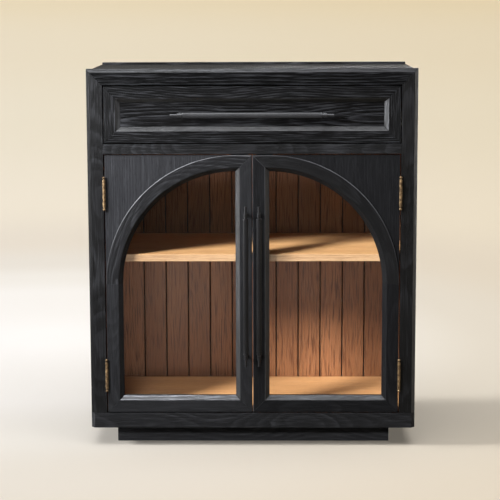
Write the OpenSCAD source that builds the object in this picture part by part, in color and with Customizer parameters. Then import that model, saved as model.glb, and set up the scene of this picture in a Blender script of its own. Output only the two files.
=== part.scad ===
// Black-stained oak cabinet: one inset drawer over two glazed doors that form an arch.
// Sizes are in millimetres. Z is up, X is to the right, the front faces -Y and the floor is z = 0.

/* [Case] */
// Overall width of the case
case_w = 914; // [880:2:960]
// Depth of the case, front frame to rear frame
case_d = 457; // [430:1:500]
// Height of the case above the visible plinth
case_h = 1012; // [980:2:1060]
// Height of plinth showing below the case
plinth_h = 52; // [40:1:80]
// Thickness of the case sides and top
panel_t = 22; // [18:1:24]
// Thickness of the floor and the deck under the drawer
deck_t = 18; // [12:1:20]
// How far the front and rear frames stand above the top panel
lip = 6; // [2:1:10]

/* [Face frame] */
// Thickness of the front frame
frame_t = 22; // [20:1:26]
// Width of the frame stiles
stile_w = 45; // [40:1:52]
// Height of the frame top rail
top_rail_h = 45; // [40:1:50]
// Height of the frame bottom rail
bottom_rail_h = 43; // [40:1:50]
// Height of the drawer opening
drawer_open_h = 162; // [158:1:180]
// Height of the rail between drawer and doors
divider_h = 28; // [24:1:36]
// Width of the chamfer on the outer front edges
edge_chamfer = 10; // [4:1:14]

/* [Doors] */
// Gap on the hinge side, at the top and at the bottom of each door
door_gap = 3; // [2.8:0.1:3.2]
// Gap between the two doors
meeting_gap = 2.4; // [2.2:0.1:3]
// Thickness of the door frames
door_t = 22; // [20:1:24]
// Width of the door stiles, rail and arch
door_member_w = 46; // [42:1:52]
// Width and depth of the bevel round the glass and the drawer panel
bevel = 12; // [9:0.5:12]
// How far the corner panel is set back from the arch
spandrel_step = 3; // [1:0.5:5]
// Thickness of the glass
glass_t = 4; // [3:0.5:4]
// Distance of each hinge centre from the door's top or bottom
hinge_inset = 106; // [80:1:130]

/* [Drawer] */
// Flat width of the drawer front's frame, without its bevel
drawer_flat_w = 33; // [28:1:36]
// Gap round the drawer front
drawer_gap = 2.8; // [2.5:0.1:3]
// Height of the drawer box
drawer_box_h = 125; // [110:1:128]
// Thickness of the drawer box boards
drawer_board_t = 12; // [10:1:14]

/* [Interior] */
// Height of the shelf's top above the floor
shelf_top_z = 544; // [480:1:600]
// Thickness of the shelf
shelf_t = 20.5; // [16:0.5:24]
// Distance from the front frame's face to the shelf's front edge
shelf_setback = 35; // [34:1:80]
// Width of one back plank
plank_w = 67.5; // [60:0.5:75]
// Thickness of the back planks
plank_t = 9; // [8:0.5:12]
// Thickness of the rear frame
rear_t = 18; // [16:1:22]

/* [Pulls] */
// Overall length of each bar pull
pull_len = 450; // [420:2:470]
// Length of the fluted grip
grip_len = 384; // [350:2:386]
// Diameter of the fluted grip
grip_d = 15; // [13:0.5:16]
// Distance from the mounting face to the grip's axis
pull_standoff = 34; // [30:1:38]
// Distance of each door pull from the cabinet's centreline
pull_offset = 18.5; // [16:0.5:24]

/* [Plinth] */
// Inset of the plinth from each side of the case
plinth_side_inset = 70; // [50:1:90]
// Inset of the plinth from the front
plinth_front_inset = 50; // [40:1:70]
// Inset of the plinth from the back
plinth_rear_inset = 24; // [20:1:50]

/* [Hidden] */
$fn = 48;
fit_gap = 0.4;
half_w = case_w / 2;
open_x = half_w - stile_w;
inner_x = half_w - panel_t;
total_z = plinth_h + case_h;
case_bottom_z = plinth_h;
floor_top_z = plinth_h + bottom_rail_h;
drawer_open_top_z = total_z - top_rail_h;
drawer_open_bottom_z = drawer_open_top_z - drawer_open_h;
door_open_top_z = drawer_open_bottom_z - divider_h;
deck_bottom_z = door_open_top_z + 4;
top_face_z = total_z - lip;
rear_y = case_d - rear_t;
plank_y = rear_y - plank_t;
pull_out = pull_standoff + grip_d / 2;
front_y = -(case_d - pull_out) / 2;
plinth_x = half_w - plinth_side_inset;
plinth_front = plinth_front_inset;
plinth_back = case_d - plinth_rear_inset;
plinth_top_z = floor_top_z - deck_t;

door_w = (2 * open_x - 2 * door_gap - meeting_gap) / 2;
door_h = door_open_top_z - floor_top_z - 2 * door_gap;
door_z = floor_top_z + door_gap;
arch_r = door_w - 2 * door_member_w;
arch_outer_r = arch_r + door_member_w;
arch_z = door_h - arch_outer_r;
cusp_cut = 24;
rabbet_w = 8;
rabbet_y = bevel + 1;
glass_edge = door_member_w - rabbet_w + 1;
bead_y = rabbet_y + glass_t + 0.2;
bead_edge = door_member_w - rabbet_w + 0.5;

hinge_x = open_x - door_gap / 2;
hinge_y = -4.4;
knuckle_r = 4;
hinge_len = 75;
end_knuckle = 13;
pin_r = 2;
running_clearance = 0.05;
leaf_t = door_gap / 2 - 0.3;
leaf_depth = 19;
finial_neck = 2.5;
finial_r = 4;
screw_r = 1.4;
screw_head_r = 2.8;
screw_len = 15;
hinge_screw_spots = [[7, -26], [13, 0], [7, 26]];

drawer_w = 2 * open_x - 2 * drawer_gap;
drawer_h = drawer_open_h - 2 * drawer_gap;
drawer_z = drawer_open_bottom_z + drawer_gap;
drawer_member_w = drawer_flat_w + bevel;
drawer_panel_t = 8;
groove_w = 8;
box_x = open_x - 13;
box_y = frame_t;
box_len = 388;
box_z = drawer_open_bottom_z + 11;
bottom_t = 6;
bottom_z = box_z + 10;
bottom_groove = 5;

slide_len = 400;
slide_y = frame_t + 2;
slide_z = drawer_open_bottom_z + 73;
sheet_t = 1.5;
spacer_h = 50;

pin_hole_r = 2.6;
pin_hole_depth = 11;
pin_pitch = 32;
shelf_pin_r = 2.5;
shelf_pin_reach = 12;
shelf_pin_ys = [shelf_setback + 40, plank_y - 60];
shelf_bottom_z = shelf_top_z - shelf_t;

rod_r = 3.5;
flute_count = 20;
flute_r = 0.9;
collar_len = 4;
post_r = 4;
post_x = grip_len / 2 + 8;

black_oak = [0.07, 0.07, 0.075];
natural_oak = [0.66, 0.45, 0.27];
brass = [0.42, 0.32, 0.18];
black_metal = [0.03, 0.03, 0.035];
steel = [0.6, 0.61, 0.63];
glass_colour = [0.8, 0.87, 0.88, 0.35];

// ---- shared helpers: inside at_front(), y = 0 is the front frame's face ----

module at_front() {
  translate([0, front_y, 0])
    children();
}

module both_sides() {
  children();
  mirror([1, 0, 0])
    children();
}

module board(x0, x1, y0, y1, z0, z1) {
  translate([x0, y0, z0])
    cube([x1 - x0, y1 - y0, z1 - z0]);
}

// An outline drawn in X and Z, made solid from y0 to y1
module xz_slab(outline, y0, y1) {
  translate([0, y1, 0])
    rotate([90, 0, 0])
      linear_extrude(y1 - y0)
        polygon(outline);
}

// A section drawn in Y and Z, run along X
module x_bar(section, x0, x1) {
  translate([x0, 0, 0])
    rotate([90, 0, 90])
      linear_extrude(x1 - x0)
        polygon(section);
}

// A section drawn in X and Y, run along Z
module z_bar(section, z0, z1) {
  translate([0, 0, z0])
    linear_extrude(z1 - z0)
      polygon(section);
}

// ---- face frame ----

module frame_stile() {
  intersection() {
    z_bar([
      [open_x, 0],
      [half_w - edge_chamfer, 0],
      [half_w, edge_chamfer],
      [half_w, frame_t],
      [open_x, frame_t]
    ], floor_top_z, total_z);
    xz_slab([
      [open_x, floor_top_z],
      [half_w, floor_top_z],
      [half_w, total_z],
      [open_x, total_z - top_rail_h]
    ], -1, frame_t + 1);
  }
}

module face_left_stile() {
  color(black_oak)
    at_front()
      mirror([1, 0, 0])
        frame_stile();
}

module face_right_stile() {
  color(black_oak)
    at_front()
      frame_stile();
}

module face_top_rail() {
  color(black_oak)
    at_front()
      intersection() {
        x_bar([
          [0, drawer_open_top_z],
          [frame_t, drawer_open_top_z],
          [frame_t, total_z],
          [edge_chamfer, total_z],
          [0, total_z - edge_chamfer]
        ], -half_w, half_w);
        xz_slab([
          [-half_w, total_z],
          [half_w, total_z],
          [open_x, drawer_open_top_z],
          [-open_x, drawer_open_top_z]
        ], -1, frame_t + 1);
      }
}

module face_divider_rail() {
  color(black_oak)
    at_front()
      board(-open_x, open_x, 0, frame_t, door_open_top_z, drawer_open_bottom_z);
}

module face_bottom_rail() {
  color(black_oak)
    at_front()
      z_bar([
        [-half_w, edge_chamfer],
        [-half_w + edge_chamfer, 0],
        [half_w - edge_chamfer, 0],
        [half_w, edge_chamfer],
        [half_w, frame_t],
        [-half_w, frame_t]
      ], case_bottom_z, floor_top_z);
}

// ---- case ----

// Side panel, mitred to the top, with five shelf-pin holes at each end of the shelf
module side_panel() {
  difference() {
    xz_slab([
      [inner_x, case_bottom_z],
      [half_w, case_bottom_z],
      [half_w, top_face_z],
      [inner_x, top_face_z - panel_t]
    ], frame_t, rear_y);
    for (y = shelf_pin_ys) {
      for (step = [-2:2]) {
        translate([inner_x - 1, y, shelf_bottom_z - shelf_pin_r + step * pin_pitch])
          rotate([0, 90, 0])
            cylinder(r = pin_hole_r, h = pin_hole_depth + 1);
      }
    }
  }
}

module left_side_panel() {
  color(black_oak)
    at_front()
      mirror([1, 0, 0])
        side_panel();
}

module right_side_panel() {
  color(black_oak)
    at_front()
      side_panel();
}

module top_panel() {
  color(black_oak)
    at_front()
      xz_slab([
        [-half_w, top_face_z],
        [half_w, top_face_z],
        [inner_x, top_face_z - panel_t],
        [-inner_x, top_face_z - panel_t]
      ], frame_t, rear_y);
}

module drawer_deck() {
  color(natural_oak)
    at_front()
      board(-inner_x, inner_x, frame_t, plank_y, deck_bottom_z, deck_bottom_z + deck_t);
}

module floor_panel() {
  color(natural_oak)
    at_front()
      board(-inner_x, inner_x, frame_t, plank_y, floor_top_z - deck_t, floor_top_z);
}

module rear_top_rail() {
  color(black_oak)
    at_front()
      board(-half_w, half_w, rear_y, case_d, drawer_open_top_z, total_z);
}

module rear_bottom_rail() {
  color(black_oak)
    at_front()
      board(-half_w, half_w, rear_y, case_d, case_bottom_z, floor_top_z);
}

module rear_stiles() {
  color(black_oak)
    at_front()
      both_sides()
        board(open_x, half_w, rear_y, case_d, floor_top_z, drawer_open_top_z);
}

// ---- back planks: tongue on the right edge, groove on the left, V between faces ----

module plank(x0, x1, has_tongue, has_groove) {
  vee = 2.2;
  tongue_t = 2.6;
  tongue_w = 4;
  mid_y = plank_y + plank_t / 2 + 0.6;
  left = x0 + fit_gap / 2;
  right = x1 - fit_gap / 2;
  difference() {
    union() {
      z_bar([
        [left + vee, plank_y],
        [right - vee, plank_y],
        [right, plank_y + vee],
        [right, rear_y],
        [left, rear_y],
        [left, plank_y + vee]
      ], plinth_top_z, top_face_z - panel_t);
      if (has_tongue) {
        board(right - 1, right + tongue_w, mid_y - tongue_t / 2, mid_y + tongue_t / 2,
              plinth_top_z, top_face_z - panel_t);
      }
    }
    if (has_groove) {
      board(left - 1, left + tongue_w + fit_gap, mid_y - tongue_t / 2 - 0.3, mid_y + tongue_t / 2 + 0.3,
            plinth_top_z - 1, top_face_z);
    }
  }
}

module back_planks() {
  pairs = floor(inner_x / plank_w);
  color(natural_oak)
    at_front() {
      for (i = [-pairs:pairs - 1]) {
        plank(i * plank_w, (i + 1) * plank_w, true, true);
      }
      plank(pairs * plank_w, inner_x, false, true);
      plank(-inner_x, -pairs * plank_w, true, false);
    }
}

// ---- shelf ----

module shelf() {
  color(natural_oak)
    at_front()
      board(-inner_x + 1, inner_x - 1, shelf_setback, plank_y - 1, shelf_bottom_z, shelf_top_z);
}

module shelf_pins() {
  color(steel)
    at_front()
      both_sides()
        for (y = shelf_pin_ys) {
          translate([inner_x - shelf_pin_reach, y, shelf_bottom_z - shelf_pin_r])
            rotate([0, 90, 0])
              cylinder(r = shelf_pin_r, h = shelf_pin_reach + pin_hole_depth - 1);
        }
}

// ---- plinth: a mitred frame fixed under the floor panel ----

module plinth_rail_plan(y_out, y_in) {
  z_bar([
    [-plinth_x, y_out],
    [plinth_x, y_out],
    [plinth_x - panel_t, y_in],
    [-plinth_x + panel_t, y_in]
  ], 0, plinth_top_z);
}

module plinth_long_rails() {
  color(black_oak)
    at_front() {
      plinth_rail_plan(plinth_front, plinth_front + panel_t);
      plinth_rail_plan(plinth_back, plinth_back - panel_t);
    }
}

module plinth_side_rails() {
  color(black_oak)
    at_front()
      both_sides()
        z_bar([
          [plinth_x, plinth_front],
          [plinth_x, plinth_back],
          [plinth_x - panel_t, plinth_back - panel_t],
          [plinth_x - panel_t, plinth_front + panel_t]
        ], 0, plinth_top_z);
}

module plinth_corner_blocks() {
  block = 45;
  x = plinth_x - panel_t;
  y0 = plinth_front + panel_t;
  y1 = plinth_back - panel_t;
  color(natural_oak)
    at_front()
      both_sides() {
        z_bar([[x, y0], [x, y0 + block], [x - block, y0]], 6, plinth_top_z);
        z_bar([[x, y1], [x, y1 - block], [x - block, y1]], 6, plinth_top_z);
      }
}

// ---- drawer slides: three-member ball-bearing slides on wooden spacers ----

module slide_spacers() {
  color(natural_oak)
    at_front()
      both_sides()
        board(open_x, inner_x, slide_y, slide_y + slide_len, slide_z - spacer_h / 2, slide_z + spacer_h / 2);
}

// A channel with its web between web_x and web_x + sheet_t and flanges reaching tip_x
module channel(web_x, tip_x, half_h, y0, y1) {
  left = min(web_x, tip_x);
  right = max(web_x + sheet_t, tip_x);
  board(web_x, web_x + sheet_t, y0, y1, slide_z - half_h, slide_z + half_h);
  board(left, right, y0, y1, slide_z + half_h - sheet_t, slide_z + half_h);
  board(left, right, y0, y1, slide_z - half_h, slide_z - half_h + sheet_t);
}

module slide_outer_members() {
  color(steel)
    at_front()
      both_sides()
        channel(open_x - sheet_t, open_x - 11, 22.5, slide_y, slide_y + slide_len);
}

module slide_middle_members() {
  color(steel)
    at_front()
      both_sides()
        channel(open_x - 4.6, open_x - 10, 18.9, slide_y + 2, slide_y + slide_len - 20);
}

module slide_inner_members() {
  color(steel)
    at_front()
      both_sides()
        channel(box_x, box_x + 6.5, 15.9, slide_y, slide_y + slide_len - 20);
}

// ---- hinges: drawn for the right door, the hinge centre at the origin ----

module hinge_spots() {
  for (z = [door_z + hinge_inset, door_z + door_h - hinge_inset]) {
    translate([hinge_x, hinge_y, z])
      children();
  }
}

module knuckle(z0, z1) {
  translate([0, 0, z0])
    cylinder(r = knuckle_r, h = z1 - z0);
}

// Leaf plate on the frame side (side = 1) or the door side (side = -1)
module leaf_plate(side) {
  x0 = side > 0 ? 0.3 : -0.3 - leaf_t;
  board(x0, x0 + leaf_t, -hinge_y, -hinge_y + leaf_depth, -hinge_len / 2, hinge_len / 2);
}

module leaf_tab(side, z0, z1) {
  x0 = side > 0 ? 0.3 : -0.3 - leaf_t;
  board(x0, x0 + leaf_t, 0, -hinge_y + 1, z0, z1);
}

// Countersunk wood screw through a leaf; grow widens it to cut the leaf's hole
module leaf_screw(side, y, z, grow) {
  translate([side * 0.3, y - hinge_y, z])
    rotate([0, side * 90, 0]) {
      cylinder(r1 = screw_head_r + grow, r2 = screw_r + grow, h = leaf_t);
      translate([0, 0, leaf_t / 2])
        cylinder(r = screw_r + grow, h = screw_len);
    }
}

module leaf_screws(side, grow) {
  for (spot = hinge_screw_spots) {
    leaf_screw(side, spot[0], spot[1], grow);
  }
}

module pin_bore(clearance) {
  translate([0, 0, -hinge_len])
    cylinder(r = pin_r + clearance, h = 2 * hinge_len);
}

module frame_leaf() {
  half = hinge_len / 2;
  difference() {
    union() {
      leaf_plate(1);
      leaf_tab(1, -half, -half + end_knuckle);
      leaf_tab(1, half - end_knuckle, half);
      knuckle(-half, -half + end_knuckle);
      knuckle(half - end_knuckle, half);
    }
    pin_bore(running_clearance);
    leaf_screws(1, running_clearance);
  }
}

module door_leaf() {
  half = hinge_len / 2;
  difference() {
    union() {
      leaf_plate(-1);
      leaf_tab(-1, -half + end_knuckle + fit_gap, half - end_knuckle - fit_gap);
      knuckle(-half + end_knuckle + fit_gap, half - end_knuckle - fit_gap);
    }
    pin_bore(running_clearance);
    leaf_screws(-1, running_clearance);
  }
}

module hinge_pin() {
  half = hinge_len / 2;
  translate([0, 0, -half - finial_neck - 1])
    cylinder(r = pin_r, h = hinge_len + 2 * finial_neck + 2);
  for (side = [-1, 1]) {
    translate([0, 0, side * (half + finial_neck + finial_r)])
      sphere(r = finial_r);
  }
  translate([0, 0, half + 0.2])
    cylinder(r = 3.2, h = 1.5);
  translate([0, 0, -half - 1.7])
    cylinder(r = 3.2, h = 1.5);
}

module hinge_frame_leaves() {
  color(brass)
    at_front()
      both_sides()
        hinge_spots()
          frame_leaf();
}

module hinge_pins() {
  color(brass)
    at_front()
      both_sides()
        hinge_spots()
          hinge_pin();
}

module frame_hinge_screws() {
  color(brass)
    at_front()
      both_sides()
        hinge_spots()
          leaf_screws(1, 0);
}

module right_door_hinge_leaves() {
  color(brass)
    at_front()
      hinge_spots()
        door_leaf();
}

module left_door_hinge_leaves() {
  color(brass)
    at_front()
      mirror([1, 0, 0])
        hinge_spots()
          door_leaf();
}

module right_door_hinge_screws() {
  color(brass)
    at_front()
      hinge_spots()
        leaf_screws(-1, 0);
}

module left_door_hinge_screws() {
  color(brass)
    at_front()
      mirror([1, 0, 0])
        hinge_spots()
          leaf_screws(-1, 0);
}

// Magnetic catches fixed under the deck, one behind each door's top corner
module door_catches() {
  color(black_metal)
    at_front()
      both_sides()
        board(12, 58, frame_t + 1.5, frame_t + 17, deck_bottom_z - 13, deck_bottom_z);
}

// ---- drawer ----

module drawer_member_section() {
  polygon([
    [0, 0],
    [drawer_flat_w, 0],
    [drawer_member_w, bevel],
    [drawer_member_w - groove_w, bevel],
    [drawer_member_w - groove_w, bevel + drawer_panel_t],
    [drawer_member_w, bevel + drawer_panel_t],
    [drawer_member_w, frame_t],
    [0, frame_t]
  ]);
}

// Bottom rail of the drawer front, its outer edge on z = 0
module drawer_rail() {
  intersection() {
    translate([drawer_w / 2, 0, 0])
      rotate([0, -90, 0])
        linear_extrude(drawer_w)
          drawer_member_section();
    xz_slab([
      [-drawer_w / 2, 0],
      [drawer_w / 2, 0],
      [drawer_w / 2 - drawer_member_w, drawer_member_w],
      [-drawer_w / 2 + drawer_member_w, drawer_member_w]
    ], -1, frame_t + 1);
  }
}

// Left stile of the drawer front, its outer edge on x = 0
module drawer_stile() {
  intersection() {
    linear_extrude(drawer_h)
      drawer_member_section();
    xz_slab([
      [0, 0],
      [drawer_member_w, drawer_member_w],
      [drawer_member_w, drawer_h - drawer_member_w],
      [0, drawer_h]
    ], -1, frame_t + 1);
  }
}

module drawer_front_rails() {
  color(black_oak)
    at_front() {
      translate([0, 0, drawer_z])
        drawer_rail();
      translate([0, 0, drawer_z + drawer_h])
        mirror([0, 0, 1])
          drawer_rail();
    }
}

module drawer_front_stiles() {
  color(black_oak)
    at_front()
      both_sides()
        translate([-drawer_w / 2, 0, drawer_z])
          drawer_stile();
}

module drawer_front_panel() {
  edge = drawer_member_w - groove_w + 0.5;
  color(black_oak)
    at_front()
      board(-drawer_w / 2 + edge, drawer_w / 2 - edge, bevel, bevel + drawer_panel_t,
            drawer_z + edge, drawer_z + drawer_h - edge);
}

module bottom_groove_cut() {
  reach = bottom_groove - 0.2;
  x = box_x - drawer_board_t + reach;
  board(-x - 0.2, x + 0.2, box_y + drawer_board_t - bottom_groove, box_y + box_len - drawer_board_t + bottom_groove,
        bottom_z - 0.1, bottom_z + bottom_t + 0.1);
}

module drawer_box_ends() {
  x = box_x - drawer_board_t;
  color(natural_oak)
    at_front()
      difference() {
        union() {
          board(-x, x, box_y, box_y + drawer_board_t, box_z, box_z + drawer_box_h);
          board(-x, x, box_y + box_len - drawer_board_t, box_y + box_len, box_z, box_z + drawer_box_h);
        }
        bottom_groove_cut();
      }
}

module drawer_box_sides() {
  color(natural_oak)
    at_front()
      difference() {
        both_sides()
          board(box_x - drawer_board_t, box_x, box_y, box_y + box_len, box_z, box_z + drawer_box_h);
        bottom_groove_cut();
      }
}

module drawer_bottom() {
  reach = bottom_groove - fit_gap;
  x = box_x - drawer_board_t + reach;
  color(natural_oak)
    at_front()
      board(-x, x, box_y + drawer_board_t - reach, box_y + box_len - drawer_board_t + reach,
            bottom_z, bottom_z + bottom_t);
}

// ---- bar pulls: drawn along Z, the mounting face at y = 0 ----

module pull_grip() {
  translate([0, -pull_standoff, 0])
    difference() {
      translate([0, 0, -grip_len / 2])
        cylinder(d = grip_d, h = grip_len);
      translate([0, 0, -grip_len])
        cylinder(r = rod_r + running_clearance, h = 2 * grip_len);
      for (i = [0:flute_count - 1]) {
        rotate([0, 0, i * 360 / flute_count])
          translate([grip_d / 2 + 0.15, 0, -grip_len / 2 + collar_len])
            cylinder(r = flute_r, h = grip_len - 2 * collar_len);
      }
    }
}

module pull_rod() {
  translate([0, -pull_standoff, -pull_len / 2])
    cylinder(r = rod_r, h = pull_len);
}

module pull_posts() {
  collar_r = 5.5;
  collar_half = 5.5;
  post_len = pull_standoff - 2;
  for (side = [-1, 1]) {
    translate([0, 0, side * post_x])
      difference() {
        union() {
          rotate([90, 0, 0])
            cylinder(r = post_r, h = post_len);
          rotate([90, 0, 0])
            cylinder(r = 6.5, h = 2);
          translate([0, -pull_standoff, -collar_half])
            cylinder(r = collar_r, h = 2 * collar_half);
        }
        translate([0, -pull_standoff, -2 * collar_half])
          cylinder(r = rod_r + running_clearance, h = 4 * collar_half);
      }
  }
}

module drawer_pull_spot() {
  at_front()
    translate([0, bevel, drawer_z + drawer_h / 2])
      rotate([0, 90, 0])
        children();
}

module right_pull_spot() {
  at_front()
    translate([pull_offset, 0, door_z + door_h / 2])
      children();
}

module left_pull_spot() {
  mirror([1, 0, 0])
    right_pull_spot()
      children();
}

module drawer_pull_grip() {
  color(black_metal)
    drawer_pull_spot()
      pull_grip();
}

module drawer_pull_rod() {
  color(black_metal)
    drawer_pull_spot()
      pull_rod();
}

module drawer_pull_posts() {
  color(black_metal)
    drawer_pull_spot()
      pull_posts();
}

module left_door_pull_grip() {
  color(black_metal)
    left_pull_spot()
      pull_grip();
}

module left_door_pull_rod() {
  color(black_metal)
    left_pull_spot()
      pull_rod();
}

module left_door_pull_posts() {
  color(black_metal)
    left_pull_spot()
      pull_posts();
}

module right_door_pull_grip() {
  color(black_metal)
    right_pull_spot()
      pull_grip();
}

module right_door_pull_rod() {
  color(black_metal)
    right_pull_spot()
      pull_rod();
}

module right_door_pull_posts() {
  color(black_metal)
    right_pull_spot()
      pull_posts();
}

// ---- doors: drawn as the right door, x from its meeting edge, z from its bottom ----

function door_section() = [
  [0, 0],
  [door_member_w - bevel, 0],
  [door_member_w, bevel],
  [door_member_w, rabbet_y],
  [door_member_w - rabbet_w, rabbet_y],
  [door_member_w - rabbet_w, door_t],
  [0, door_t]
];

module right_door() {
  translate([meeting_gap / 2, front_y, door_z])
    children();
}

module left_door() {
  mirror([1, 0, 0])
    right_door()
      children();
}

module door_meeting_stile() {
  intersection() {
    z_bar(door_section(), 0, door_h);
    xz_slab([
      [0, 0],
      [door_member_w, door_member_w],
      [door_member_w, door_h - door_member_w],
      [0, door_h]
    ], -1, door_t + 1);
  }
}

module door_hinge_stile() {
  intersection() {
    translate([door_w, 0, 0])
      mirror([1, 0, 0])
        z_bar(door_section(), 0, door_h);
    xz_slab([
      [door_w, 0],
      [door_w, arch_z],
      [door_w - door_member_w, arch_z],
      [door_w - door_member_w, door_member_w]
    ], -1, door_t + 1);
  }
}

module door_bottom_rail() {
  intersection() {
    x_bar([for (p = door_section()) [p[1], p[0]]], 0, door_w);
    xz_slab([
      [0, 0],
      [door_w, 0],
      [door_w - door_member_w, door_member_w],
      [door_member_w, door_member_w]
    ], -1, door_t + 1);
  }
}

// Quarter-round rail that runs on level past the arch's top to the mitre
module door_arch_rail() {
  translate([door_member_w, 0, arch_z])
    rotate([90, 0, 0])
      rotate_extrude(angle = 90)
        polygon([for (p = door_section()) [arch_outer_r - p[0], -p[1]]]);
  intersection() {
    x_bar([for (p = door_section()) [p[1], door_h - p[0]]], 0, door_member_w);
    xz_slab([
      [0, door_h],
      [door_member_w, door_h],
      [door_member_w, door_h - door_member_w]
    ], -1, door_t + 1);
  }
}

module door_spandrel() {
  difference() {
    board(door_member_w + cusp_cut, door_w, spandrel_step, door_t, arch_z + cusp_cut, door_h);
    translate([door_member_w, door_t + 1, arch_z])
      rotate([90, 0, 0])
        cylinder(r = arch_outer_r, h = door_t + 2);
  }
}

module door_glass() {
  glass_r = door_w - door_member_w - glass_edge;
  board(glass_edge, door_w - glass_edge, rabbet_y, rabbet_y + glass_t, glass_edge, arch_z);
  board(glass_edge, door_member_w, rabbet_y, rabbet_y + glass_t, arch_z, arch_z + glass_r);
  intersection() {
    translate([door_member_w, rabbet_y + glass_t, arch_z])
      rotate([90, 0, 0])
        cylinder(r = glass_r, h = glass_t);
    board(door_member_w, door_w, rabbet_y, rabbet_y + glass_t, arch_z, door_h);
  }
}

module door_glass_beads() {
  m = door_member_w;
  far = door_w - bead_edge;
  board(bead_edge, far, bead_y, door_t, bead_edge, m);
  board(bead_edge, m, bead_y, door_t, m + fit_gap, door_h - bead_edge);
  board(door_w - m, far, bead_y, door_t, m + fit_gap, arch_z - fit_gap);
  intersection() {
    translate([m, 0, arch_z])
      rotate([90, 0, 0])
        rotate_extrude(angle = 90)
          polygon([
            [arch_r, -bead_y],
            [arch_r, -door_t],
            [arch_r + m - bead_edge, -door_t],
            [arch_r + m - bead_edge, -bead_y]
          ]);
    board(m + fit_gap, door_w, 0, door_t + 1, 0, door_h);
  }
}

module left_door_hinge_stile() {
  color(black_oak)
    left_door()
      door_hinge_stile();
}

module left_door_meeting_stile() {
  color(black_oak)
    left_door()
      door_meeting_stile();
}

module left_door_bottom_rail() {
  color(black_oak)
    left_door()
      door_bottom_rail();
}

module left_door_arch_rail() {
  color(black_oak)
    left_door()
      door_arch_rail();
}

module left_door_spandrel() {
  color(black_oak)
    left_door()
      door_spandrel();
}

module left_door_glass() {
  color(glass_colour)
    left_door()
      door_glass();
}

module left_door_glass_beads() {
  color(black_oak)
    left_door()
      door_glass_beads();
}

module right_door_hinge_stile() {
  color(black_oak)
    right_door()
      door_hinge_stile();
}

module right_door_meeting_stile() {
  color(black_oak)
    right_door()
      door_meeting_stile();
}

module right_door_bottom_rail() {
  color(black_oak)
    right_door()
      door_bottom_rail();
}

module right_door_arch_rail() {
  color(black_oak)
    right_door()
      door_arch_rail();
}

module right_door_spandrel() {
  color(black_oak)
    right_door()
      door_spandrel();
}

module right_door_glass() {
  color(glass_colour)
    right_door()
      door_glass();
}

module right_door_glass_beads() {
  color(black_oak)
    right_door()
      door_glass_beads();
}

face_left_stile();
face_right_stile();
face_top_rail();
face_divider_rail();
face_bottom_rail();
left_side_panel();
right_side_panel();
top_panel();
drawer_deck();
floor_panel();
rear_top_rail();
rear_bottom_rail();
rear_stiles();
back_planks();
shelf();
shelf_pins();
plinth_long_rails();
plinth_side_rails();
plinth_corner_blocks();
door_catches();
slide_spacers();
slide_outer_members();
slide_middle_members();
slide_inner_members();
hinge_frame_leaves();
hinge_pins();
frame_hinge_screws();
drawer_front_rails();
drawer_front_stiles();
drawer_front_panel();
drawer_box_ends();
drawer_box_sides();
drawer_bottom();
drawer_pull_grip();
drawer_pull_rod();
drawer_pull_posts();
left_door_hinge_stile();
left_door_meeting_stile();
left_door_bottom_rail();
left_door_arch_rail();
left_door_spandrel();
left_door_glass();
left_door_glass_beads();
left_door_hinge_leaves();
left_door_hinge_screws();
left_door_pull_grip();
left_door_pull_rod();
left_door_pull_posts();
right_door_hinge_stile();
right_door_meeting_stile();
right_door_bottom_rail();
right_door_arch_rail();
right_door_spandrel();
right_door_glass();
right_door_glass_beads();
right_door_hinge_leaves();
right_door_hinge_screws();
right_door_pull_grip();
right_door_pull_rod();
right_door_pull_posts();
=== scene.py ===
import math
import bpy
from mathutils import Matrix, Vector


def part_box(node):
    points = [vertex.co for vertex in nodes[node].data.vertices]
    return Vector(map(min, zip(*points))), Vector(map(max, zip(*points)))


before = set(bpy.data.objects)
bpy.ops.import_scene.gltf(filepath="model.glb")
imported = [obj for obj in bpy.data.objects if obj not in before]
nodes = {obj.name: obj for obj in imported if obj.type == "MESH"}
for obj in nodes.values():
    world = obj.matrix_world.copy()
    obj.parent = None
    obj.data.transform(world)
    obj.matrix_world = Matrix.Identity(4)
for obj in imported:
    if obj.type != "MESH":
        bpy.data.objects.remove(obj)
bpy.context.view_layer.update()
scene = bpy.context.scene

# ---- places that come from the CAD model ----

face_low, face_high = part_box("face_bottom_rail")
FRONT_Y = face_low.y
HALF_W = face_high.x
glass_low, glass_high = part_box("right_door_glass")
stile_low, stile_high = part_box("right_door_meeting_stile")
arch_low, arch_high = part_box("right_door_arch_rail")
MEMBER = stile_high.x - stile_low.x
ARCH_X = stile_high.x
ARCH_Z = arch_low.z
ARCH_R = arch_high.z - arch_low.z - MEMBER / 2
PLANK_W = 0.0675


# ---- node helpers ----

def add(tree, kind, links=None, **settings):
    node = tree.nodes.new(kind)
    for name, value in settings.items():
        setattr(node, name, value)
    for key, value in (links or {}).items():
        if isinstance(value, bpy.types.NodeSocket):
            tree.links.new(value, node.inputs[key])
        else:
            node.inputs[key].default_value = value
    return node


def calc(tree, operation, a, b=0.5, c=0.5):
    node = add(tree, "ShaderNodeMath", {0: a, 1: b, 2: c}, operation=operation)
    return node.outputs[0]


def combine(tree, x, y, z):
    return add(tree, "ShaderNodeCombineXYZ", {0: x, 1: y, 2: z}).outputs[0]


def ramp(tree, value, stops, interpolation="LINEAR"):
    node = add(tree, "ShaderNodeValToRGB", {0: value})
    node.color_ramp.interpolation = interpolation
    elements = node.color_ramp.elements
    while len(elements) < len(stops):
        elements.new(0.5)
    for element, (place, colour) in zip(elements, stops):
        element.position = place
        element.color = (*colour, 1) if len(colour) == 3 else colour
    return node.outputs[0]


def smooth(tree, value, low, high, to_low=0.0, to_high=1.0):
    node = add(tree, "ShaderNodeMapRange",
               {"Value": value, "From Min": low, "From Max": high, "To Min": to_low, "To Max": to_high},
               interpolation_type="SMOOTHSTEP")
    return node.outputs[0]


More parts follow.
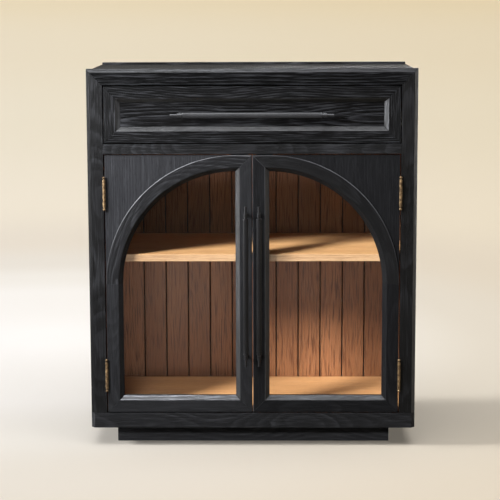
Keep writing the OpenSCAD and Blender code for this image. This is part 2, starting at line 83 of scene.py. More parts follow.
def blend_colour(tree, share, a, b, mode="MIX"):
    node = add(tree, "ShaderNodeMix", data_type="RGBA", blend_type=mode)
    for key, value in ((0, share), (6, a), (7, b)):
        if isinstance(value, bpy.types.NodeSocket):
            tree.links.new(value, node.inputs[key])
        else:
            node.inputs[key].default_value = value if key == 0 else (*value, 1)
    return node.outputs[2]


def new_material(name):
    material = bpy.data.materials.new(name)
    material.use_nodes = True
    material.node_tree.nodes.clear()
    return material, material.node_tree


def output(tree, shader):
    add(tree, "ShaderNodeOutputMaterial", {"Surface": shader})


# ---- oak ----

def oak_pattern():
    """A group that turns board coordinates (X along the grain, metres) into growth rings, pores and tone."""
    group = bpy.data.node_groups.new("oak_pattern", "ShaderNodeTree")
    group.interface.new_socket("Vector", in_out="INPUT", socket_type="NodeSocketVector")
    group.interface.new_socket("Ring Width", in_out="INPUT", socket_type="NodeSocketFloat")
    group.interface.new_socket("Pith Depth", in_out="INPUT", socket_type="NodeSocketFloat")
    for name in ("Rings", "Pores", "Streaks", "Tone"):
        group.interface.new_socket(name, in_out="OUTPUT", socket_type="NodeSocketFloat")
    inside = add(group, "NodeGroupInput")
    outside = add(group, "NodeGroupOutput")
    vector, ring_width, pith = inside.outputs[0], inside.outputs[1], inside.outputs[2]
    parts = add(group, "ShaderNodeSeparateXYZ", {0: vector})
    x, y, z = parts.outputs[0], parts.outputs[1], parts.outputs[2]

    # The tree's axis wanders slowly along the board, which makes the long pointed arches of flat-sawn oak
    slow = add(group, "ShaderNodeTexNoise", {"Vector": combine(group, calc(group, "MULTIPLY", x, 1.6), 0.0, 0.0),
                                             "Scale": 1.0, "Detail": 1.0})
    wander = calc(group, "SUBTRACT", slow.outputs[0], 0.5)
    wavy = add(group, "ShaderNodeTexNoise", {"Vector": combine(group, calc(group, "MULTIPLY", x, 5.0),
                                                               calc(group, "MULTIPLY", y, 22.0),
                                                               calc(group, "MULTIPLY", z, 22.0)),
                                             "Scale": 1.0, "Detail": 2.0})
    ripple = calc(group, "SUBTRACT", wavy.outputs[0], 0.5)
    across = calc(group, "ADD", y, calc(group, "MULTIPLY", wander, 0.07))
    deep = calc(group, "ADD", calc(group, "ADD", z, pith), calc(group, "MULTIPLY", wander, 0.1))
    radius = calc(group, "SQRT", calc(group, "ADD", calc(group, "MULTIPLY", across, across),
                                      calc(group, "MULTIPLY", deep, deep)))
    radius = calc(group, "ADD", radius, calc(group, "MULTIPLY", ripple, 0.0045))
    count = calc(group, "DIVIDE", radius, ring_width)
    within = calc(group, "FRACT", count)
    # Each ring starts sharply with open earlywood and fades into dense latewood
    rings = ramp(group, within, [(0.0, (0.1,) * 3), (0.1, (0.0,) * 3), (0.45, (0.15,) * 3), (0.78, (0.9,) * 3),
                                 (0.92, (1.0,) * 3), (1.0, (0.1,) * 3)])
    each = add(group, "ShaderNodeTexWhiteNoise", {"W": calc(group, "FLOOR", count)}, noise_dimensions="1D")
    strong = calc(group, "MULTIPLY", rings, smooth(group, each.outputs[0], 0.0, 1.0, 0.45, 1.0))

    fine = add(group, "ShaderNodeTexNoise", {"Vector": combine(group, calc(group, "MULTIPLY", x, 55.0),
                                                               calc(group, "MULTIPLY", y, 1100.0),
                                                               calc(group, "MULTIPLY", z, 1100.0)),
                                             "Scale": 1.0, "Detail": 2.0, "Roughness": 0.6})
    pores = smooth(group, fine.outputs[0], 0.5, 0.68)
    pores = calc(group, "MULTIPLY", pores, smooth(group, within, 0.75, 0.2, 0.35, 1.0))
    streak = add(group, "ShaderNodeTexNoise", {"Vector": combine(group, calc(group, "MULTIPLY", x, 14.0),
                                                                 calc(group, "MULTIPLY", y, 260.0),
                                                                 calc(group, "MULTIPLY", z, 260.0)),
                                               "Scale": 1.0, "Detail": 2.0, "Roughness": 0.6})
    broad = add(group, "ShaderNodeTexNoise", {"Vector": combine(group, calc(group, "MULTIPLY", x, 2.2),
                                                                calc(group, "MULTIPLY", y, 14.0),
                                                                calc(group, "MULTIPLY", z, 14.0)),
                                              "Scale": 1.0, "Detail": 2.0})
    for slot_index, value in enumerate((strong, pores, streak.outputs[0], broad.outputs[0])):
        group.links.new(value, outside.inputs[slot_index])
    return group


OAK = oak_pattern()


def board_coordinates(tree, grain, centre, seed, arch_side=0, planks=False):
    """Board coordinates of a piece: X runs along the grain, Y across it on the face, Z into the board."""
    place = add(tree, "ShaderNodeTexCoord").outputs["Object"]
    parts = add(tree, "ShaderNodeSeparateXYZ", {0: place})
    x, y, z = parts.outputs[0], parts.outputs[1], parts.outputs[2]
    if arch_side:
        # Round the arch, the grain follows the curve
        out = calc(tree, "MULTIPLY", calc(tree, "SUBTRACT", x, arch_side * ARCH_X), arch_side)
        up = calc(tree, "SUBTRACT", z, ARCH_Z)
        angle = calc(tree, "ARCTAN2", up, out)
        radius = calc(tree, "SQRT", calc(tree, "ADD", calc(tree, "MULTIPLY", out, out),
                                         calc(tree, "MULTIPLY", up, up)))
        along = calc(tree, "MULTIPLY", angle, ARCH_R)
        x, y, z = along, calc(tree, "SUBTRACT", radius, ARCH_R), calc(tree, "SUBTRACT", y, centre.y)
        grain_axes = (x, y, z)
    else:
        x = calc(tree, "SUBTRACT", x, centre.x)
        y = calc(tree, "SUBTRACT", y, centre.y)
        z = calc(tree, "SUBTRACT", z, centre.z)
        grain_axes = {"x": (x, z, y), "z": (z, x, y), "y": (y, x, z), "xflat": (x, y, z), "yside": (y, z, x)}[grain]
    along, across, deep = grain_axes
    tone = None
    if planks:
        index = calc(tree, "FLOOR", calc(tree, "DIVIDE", parts.outputs[0], PLANK_W))
        pick = add(tree, "ShaderNodeTexWhiteNoise", {"W": calc(tree, "ADD", index, seed + 0.5)},
                   noise_dimensions="1D")
        shift = add(tree, "ShaderNodeSeparateXYZ", {0: pick.outputs["Color"]})
        middle = calc(tree, "MULTIPLY", calc(tree, "ADD", index, 0.5), PLANK_W)
        across = calc(tree, "SUBTRACT", parts.outputs[0], middle)
        across = calc(tree, "ADD", across, calc(tree, "MULTIPLY", calc(tree, "SUBTRACT", shift.outputs[1], 0.5), 0.09))
        along = calc(tree, "ADD", along, calc(tree, "MULTIPLY", shift.outputs[0], 7.0))
        tone = shift.outputs[2]
    else:
        along = calc(tree, "ADD", along, (seed * 3.137) % 11.0)
        across = calc(tree, "ADD", across, ((seed * 0.37) % 1.0 - 0.5) * 0.05)
    return combine(tree, along, across, deep), tone


def arch_painted_highlight(tree, arch_side):
    """Painted highlight along the arch's outer edge on its front face, strongest on its upper sweep and broken up by
    noise.
    """
    place = add(tree, "ShaderNodeTexCoord").outputs["Object"]
    parts = add(tree, "ShaderNodeSeparateXYZ", {0: place})
    out = calc(tree, "MULTIPLY", calc(tree, "SUBTRACT", parts.outputs[0], arch_side * ARCH_X), arch_side)
    up = calc(tree, "SUBTRACT", parts.outputs[2], ARCH_Z)
    radius = calc(tree, "SQRT", calc(tree, "ADD", calc(tree, "MULTIPLY", out, out), calc(tree, "MULTIPLY", up, up)))
    edge = smooth(tree, radius, ARCH_R + MEMBER / 2 - 0.0024, ARCH_R + MEMBER / 2 - 0.0014)
    front = smooth(tree, parts.outputs[1], FRONT_Y + 0.0032, FRONT_Y + 0.0024)
    angle = calc(tree, "ARCTAN2", up, out)
    crown = calc(tree, "MULTIPLY", smooth(tree, angle, 0.1, 0.8, 0.15, 1.0), smooth(tree, angle, 1.45, 1.1, 0.45, 1.0))
    highlight_breakup = add(tree, "ShaderNodeTexNoise", {"Vector": place, "Scale": 40.0, "Detail": 2.0})
    share = calc(tree, "MULTIPLY", calc(tree, "MULTIPLY", edge, crown), smooth(tree, highlight_breakup.outputs[0], 0.3, 0.6, 0.7, 1.0))
    return calc(tree, "MULTIPLY", share, front)


def black_oak(name, grain, centre, seed, arch_side=0, ring_width=0.0052, pith=0.05, lift=1.0, contrast=1.0,
              gloss=0.09, base=1.0):
    """Open-grain oak under a black stain: grey latewood lines over near-black, with open pores."""
    material, tree = new_material(name)
    vector, _ = board_coordinates(tree, grain, centre, seed, arch_side)
    pattern = add(tree, "ShaderNodeGroup", node_tree=OAK)
    tree.links.new(vector, pattern.inputs[0])
    pattern.inputs[1].default_value = ring_width
    pattern.inputs[2].default_value = pith
    rings, pores, streaks, tone = pattern.outputs
    dark = tuple(v * lift * base for v in (0.0012, 0.00123, 0.00138))
    light = tuple(v * lift * (0.6 + 0.4 * contrast) for v in (0.066, 0.067, 0.073))
    line = calc(tree, "MULTIPLY", rings, smooth(tree, streaks, 0.36, 0.66, 0.1, 1.0))
    fleck = calc(tree, "MULTIPLY", smooth(tree, streaks, 0.53, 0.68), 0.55)
    line = calc(tree, "MULTIPLY", calc(tree, "MAXIMUM", line, fleck), contrast)
    colour = blend_colour(tree, line, dark, light)
    colour = blend_colour(tree, calc(tree, "MULTIPLY", pores, 0.75), colour, tuple(v * 0.4 for v in dark))
    colour = blend_colour(tree, smooth(tree, tone, 0.35, 0.7, 0.0, 0.25), colour, tuple(v * 1.3 for v in dark))
    # Painted highlight on the arch's outer edge, brighter on the left door, where the light comes from.
    if arch_side:
        colour = blend_colour(tree, arch_painted_highlight(tree, arch_side), colour,
                              (0.13, 0.13, 0.135) if arch_side < 0 else (0.075, 0.075, 0.08))
    rough = calc(tree, "ADD", smooth(tree, streaks, 0.25, 0.75, 0.56, 0.44), calc(tree, "MULTIPLY", pores, 0.22))
    height = calc(tree, "SUBTRACT", calc(tree, "MULTIPLY", line, 0.55), calc(tree, "MULTIPLY", pores, 0.8))
    height = calc(tree, "ADD", height, calc(tree, "MULTIPLY", streaks, 0.8))
    bump = add(tree, "ShaderNodeBump", {"Height": height, "Strength": 0.7, "Distance": 0.0009})
    shader = add(tree, "ShaderNodeBsdfPrincipled", {"Base Color": colour, "Roughness": rough,
                                                    "Normal": bump.outputs[0]})
    shader.inputs["Specular IOR Level"].default_value = gloss
    output(tree, shader.outputs[0])
    return material


def plank_groove_painted_shade(tree):
    """Painted shade in the vee grooves between planks."""
    place = add(tree, "ShaderNodeTexCoord").outputs["Object"]
    across = add(tree, "ShaderNodeSeparateXYZ", {0: place}).outputs[0]
    step = calc(tree, "FRACT", calc(tree, "ADD", calc(tree, "DIVIDE", across, PLANK_W), 0.5))
    near = calc(tree, "MULTIPLY", calc(tree, "ABSOLUTE", calc(tree, "SUBTRACT", step, 0.5)), PLANK_W)
    return smooth(tree, near, 0.0026, 0.0012)


def natural_oak(name, grain, centre, seed, planks=False, ring_width=0.0055, pith=0.06, lift=1.0, tint=(1, 1, 1)):
    """Oiled oak: honey earlywood and browner latewood, with fine dark pores."""
    material, tree = new_material(name)
    vector, plank_tone = board_coordinates(tree, grain, centre, seed, planks=planks)
    pattern = add(tree, "ShaderNodeGroup", node_tree=OAK)
    tree.links.new(vector, pattern.inputs[0])
    pattern.inputs[1].default_value = ring_width
    pattern.inputs[2].default_value = pith
    rings, pores, streaks, tone = pattern.outputs
    early = tuple(v * lift * t for v, t in zip((0.56, 0.315, 0.15), tint))
    late = tuple(v * lift * t for v, t in zip((0.24, 0.105, 0.042) if planks else (0.35, 0.17, 0.07), tint))
    colour = blend_colour(tree, calc(tree, "MULTIPLY", rings, smooth(tree, streaks, 0.36, 0.66, 0.3, 1.0)), early, late)
    colour = blend_colour(tree, smooth(tree, streaks, 0.5, 0.66, 0.0, 0.8 if planks else 0.3), colour,
                          tuple(v * 0.5 for v in late))
    colour = blend_colour(tree, smooth(tree, tone, 0.3, 0.7, 0.0, 0.35), colour, tuple(v * 0.85 for v in late))
    colour = blend_colour(tree, calc(tree, "MULTIPLY", pores, 0.5), colour, tuple(v * 0.5 for v in late))
    if plank_tone is not None:
        colour = blend_colour(tree, smooth(tree, plank_tone, 0.0, 1.0, 0.0, 0.32), colour,
                              tuple(v * 0.78 for v in late))
        # Painted shade in the vee grooves between planks.
        colour = blend_colour(tree, plank_groove_painted_shade(tree), colour, tuple(v * 0.06 for v in late))
    rough = calc(tree, "ADD", smooth(tree, streaks, 0.25, 0.75, 0.5, 0.4), calc(tree, "MULTIPLY", pores, 0.25))
    height = calc(tree, "SUBTRACT", calc(tree, "MULTIPLY", rings, 0.2), calc(tree, "MULTIPLY", pores, 0.6))
    bump = add(tree, "ShaderNodeBump", {"Height": height, "Strength": 0.4, "Distance": 0.0004})
    shader = add(tree, "ShaderNodeBsdfPrincipled", {"Base Color": colour, "Roughness": rough,
                                                    "Normal": bump.outputs[0]})
    shader.inputs["Specular IOR Level"].default_value = 0.2
    output(tree, shader.outputs[0])
    return material


# ---- metal and glass ----

def black_metal(name, dark, light):
    """Satin black powder coat, a little brighter in soft random clouds."""
    material, tree = new_material(name)
    place = add(tree, "ShaderNodeTexCoord").outputs["Object"]
    speck = add(tree, "ShaderNodeTexNoise", {"Vector": place, "Scale": 900.0, "Detail": 2.0})
    cloud = add(tree, "ShaderNodeTexNoise", {"Vector": place, "Scale": 14.0, "Detail": 3.0})
    colour = ramp(tree, cloud.outputs[0], [(0.3, dark), (0.7, light)])
    rough = calc(tree, "ADD", smooth(tree, cloud.outputs[0], 0.3, 0.7, 0.24, 0.34),
                 calc(tree, "MULTIPLY", speck.outputs[0], 0.08))
    bump = add(tree, "ShaderNodeBump", {"Height": speck.outputs[0], "Strength": 0.25, "Distance": 0.0002})
    shader = add(tree, "ShaderNodeBsdfPrincipled", {"Base Color": colour, "Roughness": rough,
                                                    "Normal": bump.outputs[0]})
    shader.inputs["Specular IOR Level"].default_value = 0.18
    output(tree, shader.outputs[0])
    return material


def aged_metal(name, bright, dull, rough_low, rough_high):
    """Metal with patina in soft clouds and fine draw marks."""
    material, tree = new_material(name)
    place = add(tree, "ShaderNodeTexCoord").outputs["Object"]
    cloud = add(tree, "ShaderNodeTexNoise", {"Vector": place, "Scale": 120.0, "Detail": 4.0, "Roughness": 0.65})
    mark = add(tree, "ShaderNodeTexNoise", {"Vector": add(tree, "ShaderNodeMapping", {
        "Vector": place, "Scale": (900.0, 900.0, 60.0)}).outputs[0], "Scale": 1.0, "Detail": 2.0})
    worn = smooth(tree, cloud.outputs[0], 0.38, 0.64)
    colour = blend_colour(tree, worn, dull, bright)
    rough = calc(tree, "ADD", smooth(tree, worn, 0.0, 1.0, rough_high, rough_low),
                 calc(tree, "MULTIPLY", mark.outputs[0], 0.1))
    bump = add(tree, "ShaderNodeBump", {"Height": mark.outputs[0], "Strength": 0.3, "Distance": 0.0002})
    shader = add(tree, "ShaderNodeBsdfPrincipled", {"Base Color": colour, "Roughness": rough,
                                                    "Normal": bump.outputs[0]})
    shader.inputs["Metallic"].default_value = 1.0
    output(tree, shader.outputs[0])
    return material


def clear_glass(name):
    """Thin coated pane: lamps shine through it, and it reflects only a little."""
    material, tree = new_material(name)
    place = add(tree, "ShaderNodeTexCoord").outputs["Object"]
    wave = add(tree, "ShaderNodeTexNoise", {"Vector": place, "Scale": 5.0, "Detail": 1.0})
    bump = add(tree, "ShaderNodeBump", {"Height": wave.outputs[0], "Strength": 0.05, "Distance": 0.001})
    glass = add(tree, "ShaderNodeBsdfPrincipled", {"Normal": bump.outputs[0]})
    glass.inputs["Base Color"].default_value = (0.985, 0.995, 0.99, 1)
    glass.inputs["Transmission Weight"].default_value = 1.0
    glass.inputs["Roughness"].default_value = 0.0
    glass.inputs["IOR"].default_value = 1.14
    clear = add(tree, "ShaderNodeBsdfTransparent")
    clear.inputs[0].default_value = (0.97, 0.98, 0.975, 1)
    path = add(tree, "ShaderNodeLightPath")
    through = calc(tree, "MAXIMUM", path.outputs["Is Shadow Ray"], path.outputs["Is Diffuse Ray"])
    mix = add(tree, "ShaderNodeMixShader", {0: through, 1: glass.outputs[0],
                                            2: clear.outputs[0]})
    output(tree, mix.outputs[0])
    return material


# ---- give every node its materials ----

def centre_of(node):
    low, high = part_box(node)
    return (low + high) / 2


def set_material(node, *materials):
    mesh = nodes[node].data
    mesh.materials.clear()
    for material in materials:
        mesh.materials.append(material)


def two_tone(node, test):
    """Faces that pass the test take the node's second material."""
    for face in nodes[node].data.polygons:
        face.material_index = 1 if test(face.center, face.normal) else 0


# All these pieces carry the same black stain; their lift and base values make lit and shaded copies of it piece by
# piece: painted light and shade, such as the strongly lifted plinth rails and the darker right face stile.
BLACK_GRAIN = {
    "face_left_stile": ("z", 1, {"ring_width": 0.0034, "pith": 0.25, "contrast": 0.55, "lift": 0.62, "base": 2.5}),
    "face_right_stile": ("z", 2, {"ring_width": 0.0034, "pith": 0.25, "contrast": 0.55, "lift": 0.5, "base": 2.0}),
    "face_top_rail": ("x", 3, {"ring_width": 0.0062, "pith": 0.05, "contrast": 1.2, "lift": 0.3, "gloss": 0.03}),
    "face_divider_rail": ("x", 4, {"ring_width": 0.003, "pith": 0.16, "contrast": 0.55, "lift": 0.9, "base": 3.0}),
    "face_bottom_rail": ("x", 5, {"ring_width": 0.003, "pith": 0.18, "contrast": 0.4, "lift": 1.1, "base": 4.0}),
    "left_side_panel": ("z", 6, {"pith": 0.09, "lift": 0.8, "contrast": 0.45, "base": 2.0}),
    "right_side_panel": ("z", 7, {"pith": 0.09, "lift": 0.8, "contrast": 0.45, "base": 2.0}),
    "top_panel": ("xflat", 8, {"pith": 0.08, "contrast": 0.35, "lift": 0.5, "gloss": 0.05,
                            "base": 2.0}),
    "rear_top_rail": ("x", 9, {"lift": 0.6}),
    "rear_bottom_rail": ("x", 10, {"lift": 0.8}),
    "rear_stiles": ("z", 11, {"pith": 0.2, "lift": 0.8}),
    "plinth_long_rails": ("x", 12, {"ring_width": 0.005, "pith": 0.12, "contrast": 0.16, "lift": 4.8, "base": 4.5}),
    "plinth_side_rails": ("yside", 13, {"pith": 0.3, "lift": 2.2}),
    "drawer_front_rails": ("x", 14, {"ring_width": 0.0055, "pith": 0.045, "contrast": 1.2, "lift": 0.38, "gloss": 0.05}),
    "drawer_front_stiles": ("z", 15, {"ring_width": 0.004, "pith": 0.3, "contrast": 1.1, "lift": 0.52, "gloss": 0.06}),
    "drawer_front_panel": ("x", 16, {"ring_width": 0.0055, "pith": 0.05, "contrast": 1.2, "lift": 0.42, "gloss": 0.05}),
}
for side in ("left", "right"):
    base = 20 if side == "left" else 40
    # Painted shade: the right door's pieces get darker copies of the stain, standing in for the light falling from the
    # left.
    shade = 1.0 if side == "left" else 0.55
    quiet = {"contrast": 0.24, "lift": 1.3 * shade, "base": 5.0, "gloss": 0.09 if side == "left" else 0.05}
    BLACK_GRAIN[f"{side}_door_hinge_stile"] = ("z", base + 1, {"ring_width": 0.0036, "pith": 0.12, **quiet})
    BLACK_GRAIN[f"{side}_door_meeting_stile"] = ("z", base + 2, {"ring_width": 0.0036, "pith": 0.12, **quiet})
    BLACK_GRAIN[f"{side}_door_bottom_rail"] = ("x", base + 3, {"ring_width": 0.0042, "pith": 0.1, **quiet})
    BLACK_GRAIN[f"{side}_door_spandrel"] = ("z", base + 4, {"ring_width": 0.0042, "pith": 0.14,
                                                            "contrast": 0.26, "lift": 1.75 * shade ** 1.5,
                                                            "base": 6.0, "gloss": quiet["gloss"]})
    BLACK_GRAIN[f"{side}_door_glass_beads"] = ("z", base + 5, quiet)

# Painted light and shade on the front-facing chamfers: these pieces get a second copy of their oak there, whose lift
# sets how bright those faces look, mostly brighter to stand in for the light they catch
BEVEL_PAINTED_LIGHT = {"face_left_stile": 0.5, "face_right_stile": 2.6, "face_top_rail": 0.9,
              "drawer_front_stiles": 4.5, "drawer_front_rails": 0.6, "left_door_bottom_rail": 8.0,
              "right_door_bottom_rail": 3.2, "left_door_meeting_stile": 1.1, "right_door_meeting_stile": 1.2}

NATURAL_GRAIN = {
    "drawer_deck": ("xflat", 61, {}),
    "floor_panel": ("xflat", 62, {"pith": 0.09, "lift": 0.85}),
    "back_planks": ("z", 63, {"planks": True, "ring_width": 0.006, "pith": 0.035, "lift": 0.39,
                           "tint": (1.03, 0.81, 0.77)}),
    "shelf": ("xflat", 64, {"pith": 0.1, "lift": 1.02, "tint": (0.97, 1.03, 1.07)}),
    "plinth_corner_blocks": ("z", 65, {}),
    "slide_spacers": ("yside", 66, {}),
    "drawer_box_ends": ("x", 67, {"lift": 1.1}),
    "drawer_box_sides": ("yside", 68, {"lift": 1.1}),
    "drawer_bottom": ("xflat", 69, {"lift": 1.15}),
}

for node, (grain, seed, options) in BLACK_GRAIN.items():
    set_material(node, black_oak(node + "_black", grain, centre_of(node), seed, **options))
for node, lift in BEVEL_PAINTED_LIGHT.items():
    grain, seed, options = BLACK_GRAIN[node]
    nodes[node].data.materials.append(black_oak(node + "_bevel_painted_light", grain, centre_of(node), seed,
                                                **{**options, "lift": lift, "contrast": 0.5, "base": 1.0,
                                                   "gloss": {"face_left_stile": 0.05,
                                                             "face_top_rail": 0.12}.get(node, 0.35)}))
    two_tone(node, lambda c, n: n.y < -0.3 and n.y > -0.95)
# Painted shade: the right arch rail gets a darker, flatter copy of the stain than the left one.
for side, sign in (("left", -1), ("right", 1)):
    node = f"{side}_door_arch_rail"
    set_material(node, black_oak(node + "_black", "z", centre_of(node), 30 + sign, arch_side=sign,
                                 ring_width=0.0044, pith=0.06, base=3.5,
                                 contrast=0.5 if side == "left" else 0.25, lift=1.1 if side == "left" else 0.75))
for node, (grain, seed, options) in NATURAL_GRAIN.items():
    set_material(node, natural_oak(node + "_oak", grain, centre_of(node), seed, **options))

# Painted shade: the shelf's front face gets a darker, bluer copy of its oak, holding the sunlit front down against the
# top.
nodes["shelf"].data.materials.append(natural_oak("shelf_front_painted_shade", "x", centre_of("shelf"), 76, lift=0.55, pith=0.2,
                                                 tint=(1.0, 1.15, 1.4)))
two_tone("shelf", lambda c, n: n.y < -0.5)
# The case boards are stained black outside and oiled inside
# Painted shade: the side panels' oiled inside faces get a much darker, browner copy of the oak, which keeps the sunlit
# inside from glowing through the door gaps.
for node, seed, inward in (("left_side_panel", 71, 1), ("right_side_panel", 72, -1)):
    nodes[node].data.materials.append(natural_oak(node + "_inside", "z", centre_of(node), seed, pith=0.09, lift=0.3,
                                                  tint=(1.03, 0.81, 0.77)))
    two_tone(node, lambda c, n, inward=inward: n.x * inward > 0.5 or abs(c.x) < HALF_W - 0.0118 and abs(n.x) < 0.99)
nodes["top_panel"].data.materials.append(natural_oak("top_panel_inside", "xflat", centre_of("top_panel"), 73))
two_tone("top_panel", lambda c, n: n.z < -0.9)
nodes["back_planks"].data.materials.append(black_oak("back_planks_outside", "z", centre_of("back_planks"), 74,
                                                       lift=1.5))
two_tone("back_planks", lambda c, n: n.y > 0.9 and c.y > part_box("back_planks")[1].y - 0.0005)
nodes["floor_panel"].data.materials.append(black_oak("floor_panel_underside", "xflat", centre_of("floor_panel"), 75))
two_tone("floor_panel", lambda c, n: n.z < -0.9)

METAL = black_metal("black_metal", (0.0035, 0.0035, 0.004), (0.006, 0.006, 0.007))
# Painted light: the drawer pull gets a lighter copy of the door pulls' black metal, standing in for the light on its
# top-lit bar.
DRAWER_PULL_PAINTED_LIGHT = black_metal("drawer_pull_painted_light", (0.016, 0.016, 0.017), (0.024, 0.024, 0.0255))
BRASS = aged_metal("antique_brass", (0.17, 0.115, 0.062), (0.05, 0.033, 0.019), 0.5, 0.64)
STEEL = aged_metal("zinc_steel", (0.62, 0.63, 0.65), (0.4, 0.41, 0.43), 0.28, 0.4)
GLASS = clear_glass("clear_glass")
for name in nodes:
    if "_pull_" in name or name == "door_catches":
        set_material(name, DRAWER_PULL_PAINTED_LIGHT if name.startswith("drawer") else METAL)
    elif name in ("hinge_frame_leaves", "hinge_pins") or name.endswith(("hinge_leaves", "hinge_screws")):
        set_material(name, BRASS)
    elif name.startswith("slide_") and name != "slide_spacers" or name == "shelf_pins":
        set_material(name, STEEL)
    elif name.endswith("_glass"):
        set_material(name, GLASS)


# ---- soften the edges ----

def soften(node, width, segments=2, angle=25):
    piece = nodes[node]
    weld = piece.modifiers.new("weld", "WELD")
    weld.merge_threshold = 0.00001
    bevel = piece.modifiers.new("bevel", "BEVEL")
    bevel.width = width
    bevel.segments = segments
    bevel.limit_method = "ANGLE"
    bevel.angle_limit = math.radians(angle)
    bevel.use_clamp_overlap = True
    bevel.harden_normals = False
    return bevel


EASED = {"right_door_meeting_stile": 0.0017, "arch_rail": 0.0014, "back_planks": 0.0004, "glass_beads": 0.0006, "drawer_box": 0.0012, "shelf": 0.0015}
for name in list(BLACK_GRAIN) + list(NATURAL_GRAIN) + ["left_door_arch_rail", "right_door_arch_rail"]:
    width = 0.0009
    for key, value in EASED.items():
        if key in name:
            width = value
    bevel = soften(name, width)
    if name == "right_door_meeting_stile":
        # Painted highlight: the bevel faces of the right door's meeting stile get a much lighter copy of its oak,
        # standing in for the light line along that edge
        grain, seed, options = BLACK_GRAIN[name]
        nodes[name].data.materials.append(black_oak("meeting_arris_painted_highlight", grain, centre_of(name), seed,
                                                    **{**options, "lift": 5.0, "base": 4.0, "gloss": 0.3}))
        bevel.material = 2

# ---- camera ----

CAMERA_AT = Vector((0.0524, FRONT_Y - 4.3084, 1.2589))
YAW, PITCH, ROLL = math.radians(-0.781), math.radians(-8.101), math.radians(-0.182)
LENS = 112.9
ahead = Vector((math.sin(YAW) * math.cos(PITCH), math.cos(YAW) * math.cos(PITCH), math.sin(PITCH)))
level = Vector((math.cos(YAW), -math.sin(YAW), 0.0))
upward = level.cross(ahead)
right = level * math.cos(ROLL) + upward * math.sin(ROLL)
upward = right.cross(ahead)
camera_data = bpy.data.cameras.new("camera")
camera_data.sensor_width = 36.0
camera_data.lens = LENS
camera_data.shift_y = -0.06
camera_data.clip_end = 3000.0
camera = bpy.data.objects.new("camera", camera_data)
scene.collection.objects.link(camera)
camera.matrix_world = Matrix((
    (right.x, upward.x, -ahead.x, CAMERA_AT.x),
    (right.y, upward.y, -ahead.y, CAMERA_AT.y),
    (right.z, upward.z, -ahead.z, CAMERA_AT.z),
    (0, 0, 0, 1)))
scene.camera = camera

# ---- floor ----

PAPER = 0.9

def floor_material():
    """Pale seamless paper with a painted pool of light: brightest behind and to the left of the object, dimming and
    warming to cream far away, and painted darker and warmer towards the right.
    """
    material, tree = new_material("floor")
    place = add(tree, "ShaderNodeTexCoord").outputs["Object"]
    # Painted pool of light: the paper's colour brightens towards a point behind and to the left of the object.
    away = add(tree, "ShaderNodeVectorMath", {0: place, 1: (-0.8, 1.2, 0.0)}, operation="DISTANCE").outputs["Value"]
    logarithm = calc(tree, "LOGARITHM", calc(tree, "ADD", away, 0.1), 10.0)
    share = calc(tree, "MULTIPLY_ADD", logarithm, 0.25, 0.3)
    tones = ((0.1, (254, 252, 250)), (0.9, (247, 244, 240)), (1.3, (240, 236, 229)), (1.7, (231, 225, 215)),
             (2.4, (229, 220, 206)), (3.8, (236, 227, 210)), (11.0, (231, 222, 202)), (30.0, (229, 218, 195)),
             (240.0, (228, 214, 185)))
    stops = [(0.3 + 0.25 * math.log10(d + 0.1), tuple(PAPER * (c / 255) ** 2.2 for c in rgb)) for d, rgb in tones]
    colour = ramp(tree, share, stops, "EASE")
    parts = add(tree, "ShaderNodeSeparateXYZ", {0: place})
    reach = add(tree, "ShaderNodeVectorMath", {0: place}, operation="LENGTH").outputs["Value"]
    # Painted shade: the paper turns darker and warmer towards the right.
    lean = calc(tree, "DIVIDE", parts.outputs[0], calc(tree, "ADD", reach, 5.0))
    colour = blend_colour(tree, smooth(tree, lean, -0.2, 0.2), colour,
                          blend_colour(tree, 1.0, colour, (0.95, 0.92, 0.86), "MULTIPLY"))
    grain = add(tree, "ShaderNodeTexNoise", {"Vector": place, "Scale": 60.0, "Detail": 4.0})
    bump = add(tree, "ShaderNodeBump", {"Height": grain.outputs[0], "Strength": 0.05, "Distance": 0.001})
    shader = add(tree, "ShaderNodeBsdfPrincipled", {"Base Color": colour, "Normal": bump.outputs[0]})
    shader.inputs["Roughness"].default_value = 0.9
    shader.inputs["Specular IOR Level"].default_value = 0.0
    output(tree, shader.outputs[0])
    return material


def make_floor():
    mesh = bpy.data.meshes.new("floor")
    size = 900.0
    mesh.from_pydata([(-size, -size, 0), (size, -size, 0), (size, size, 0), (-size, size, 0)], [], [(0, 1, 2, 3)])
    floor = bpy.data.objects.new("floor", mesh)
    scene.collection.objects.link(floor)
    floor.location.z = -0.0002
    mesh.materials.append(floor_material())
    floor.visible_diffuse = False
    return floor


floor = make_floor()

# ---- light ----

world = bpy.data.worlds.new("world")
scene.world = world
world.use_nodes = True
world.cycles_visibility.diffuse = False
sky = world.node_tree
upwards = add(sky, "ShaderNodeSeparateXYZ", {0: add(sky, "ShaderNodeTexCoord").outputs["Generated"]}).outputs[2]
sky.links.new(ramp(sky, upwards, [(0.0, (0.81, 0.72, 0.56)), (0.06, (0.72, 0.65, 0.5)), (0.2, (0.62, 0.58, 0.50)), (0.6, (0.3, 0.3, 0.31)),
                                  (1.0, (0.22, 0.22, 0.24))]), sky.nodes["Background"].inputs[0])

only_inside = bpy.data.collections.new("lit_inside")
only_outside = bpy.data.collections.new("lit_outside")
only_bottom = bpy.data.collections.new("lit_bottom")
only_floor = bpy.data.collections.new("lit_floor")
for name, piece in nodes.items():
    (only_inside if name in NATURAL_GRAIN else only_outside).objects.link(piece)
only_bottom.objects.link(nodes["floor_panel"])
only_floor.objects.link(floor)


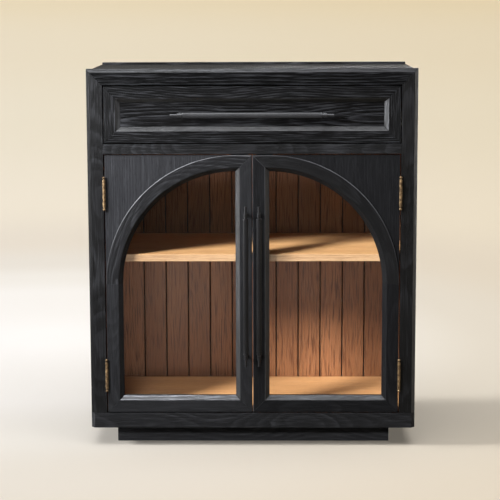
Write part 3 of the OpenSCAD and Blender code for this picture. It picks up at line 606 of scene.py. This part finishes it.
def lamp(name, kind, energy, colour, place=(0, 0, 2), aim=None, travel=None, size=None, receivers=None,
         shadow=True):
    data = bpy.data.lights.new(name, kind)
    data.energy = energy
    data.color = colour
    data.use_shadow = shadow
    if kind == "SUN":
        data.angle = size
    else:
        data.shape = "RECTANGLE"
        data.size, data.size_y = size
    piece = bpy.data.objects.new(name, data)
    scene.collection.objects.link(piece)
    piece.location = place
    direction = Vector(travel) if travel else Vector(aim) - Vector(place)
    piece.rotation_mode = "QUATERNION"
    piece.rotation_quaternion = direction.to_track_quat("-Z", "Y")
    if receivers:
        piece.light_linking.receiver_collection = receivers
    return piece


lamp("key", "SUN", 13.2, (1.0, 0.94, 0.86), travel=(1.0, 1.0, -0.78), size=math.radians(16), receivers=only_inside)
lamp("key_outside", "SUN", 2.1, (1.0, 0.98, 0.96), travel=(1.0, 1.0, -0.59), size=math.radians(4),
     receivers=only_outside)
lamp("near_left", "AREA", 62.0, (0.94, 0.96, 1.0), place=(-1.2, FRONT_Y - 0.95, 1.35), aim=(-0.1, FRONT_Y, 0.6),
     size=(0.35, 0.35), receivers=only_outside)
lamp("left_softbox", "AREA", 120.0, (0.95, 0.97, 1.0), place=(-2.4, FRONT_Y - 0.1, 0.8), aim=(0.0, FRONT_Y, 0.6),
     size=(1.4, 1.6), receivers=only_outside)
lamp("top_softbox", "AREA", 250.0, (0.95, 0.97, 1.0), place=(-0.5, FRONT_Y - 0.25, 3.0),
     aim=(-0.3, FRONT_Y - 0.1, 0.6), size=(2.2, 1.6), receivers=only_outside)
lamp("fill_inside", "AREA", 0.02, (1.0, 0.92, 0.85), place=(0.0, FRONT_Y - 2.5, 0.9), aim=(0.0, 0.0, 0.5),
     size=(2.0, 1.6), receivers=only_inside)
lamp("low_fill", "AREA", 7.5, (1.0, 0.96, 0.95), place=(-0.15, FRONT_Y - 0.7, 0.22), aim=(-0.05, 0.2, 0.25),
     size=(0.9, 0.12), receivers=only_inside)
lamp("bottom_fill", "AREA", 28.0, (1.0, 0.95, 0.92), place=(-0.5, FRONT_Y - 1.4, 1.05), aim=(-0.2, 0.0, 0.1),
     size=(0.5, 0.5), receivers=only_bottom)
lamp("rear_fill", "AREA", 170.0, (0.97, 0.98, 1.0), place=(0.9, 3.2, 0.7), aim=(0.0, 0.2, 0.5), size=(2.0, 1.2),
     receivers=only_outside)
lamp("right_fill", "AREA", 40.0, (0.97, 0.98, 1.0), place=(3.2, FRONT_Y + 0.1, 0.9), aim=(0.4, -0.1, 0.5), size=(1.6, 1.6),
     receivers=only_outside)
lamp("floor_light", "SUN", 2.6, (1.0, 0.985, 0.97), travel=(1.0, 0.06, -0.46), size=math.radians(7),
     receivers=only_floor)
lamp("floor_glow", "SUN", 1.9, (1.0, 0.98, 0.965), travel=(0.0, 0.2, -1.0), size=math.radians(60),
     receivers=only_floor, shadow=False)
lamp("floor_fill", "SUN", 0.6, (1.0, 0.99, 0.98), travel=(0.0, 0.2, -1.0), size=math.radians(60),
     receivers=only_floor)
lamp("floor_edge", "SUN", 0.3, (1.0, 0.97, 0.9), travel=(-1.0, 0.6, -0.4), size=math.radians(30),
     receivers=only_floor)

scene.view_settings.view_transform = "Standard"
scene.view_settings.look = "None"
